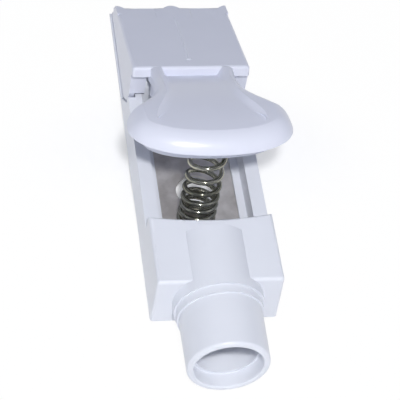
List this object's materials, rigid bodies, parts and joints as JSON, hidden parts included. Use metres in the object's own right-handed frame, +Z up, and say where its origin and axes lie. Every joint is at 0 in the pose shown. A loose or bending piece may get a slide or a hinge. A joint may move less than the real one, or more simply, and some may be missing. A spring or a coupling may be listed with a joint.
{
  "type": "electrode clip adaptor",
  "caption": "Spring-loaded clip adaptor for electrodes: thumb-pad lever, contact plate with a stud hole, and a round plug socket at the end.",
  "frame": {"origin": "middle of the housing's flat underside, half way along the housing", "axes": "+X to the right across the clip, +Y from the plug socket to the jaw tip, +Z up from the underside to the thumb pad"},
  "size_m": [0.0166, 0.0509, 0.0161],
  "materials": {
    "body_plastic": "satin white ABS",
    "lever_plastic": "glossy white ABS",
    "barrel_plastic": "glossy white ABS",
    "plate_nickel": "satin nickel plate",
    "socket_nickel": "bright nickel plate",
    "spring_steel": "bright drawn spring wire",
    "pin_steel": "ground steel"
  },
  "bodies": {
    "housing_body": {"housing": "body_plastic", "socket_barrel": "barrel_plastic", "plug_contact": "socket_nickel", "contact_rivet": "socket_nickel", "contact_plate": "plate_nickel", "pivot_pin": "pin_steel", "return_spring": "spring_steel"},
    "lever_body": {"lever": "lever_plastic"}
  },
  "joints": [
    {"name": "lever_hinge", "type": "hinge", "parent": "housing_body", "child": "lever_body", "pos_m": [0, 0.0065, 0.0049], "axis": [1, 0, 0], "range_deg": [0, 16], "stiffness_Nm_per_rad": 0.4, "springref_deg": -10.89, "deforming": ["return_spring"]}
  ]
}
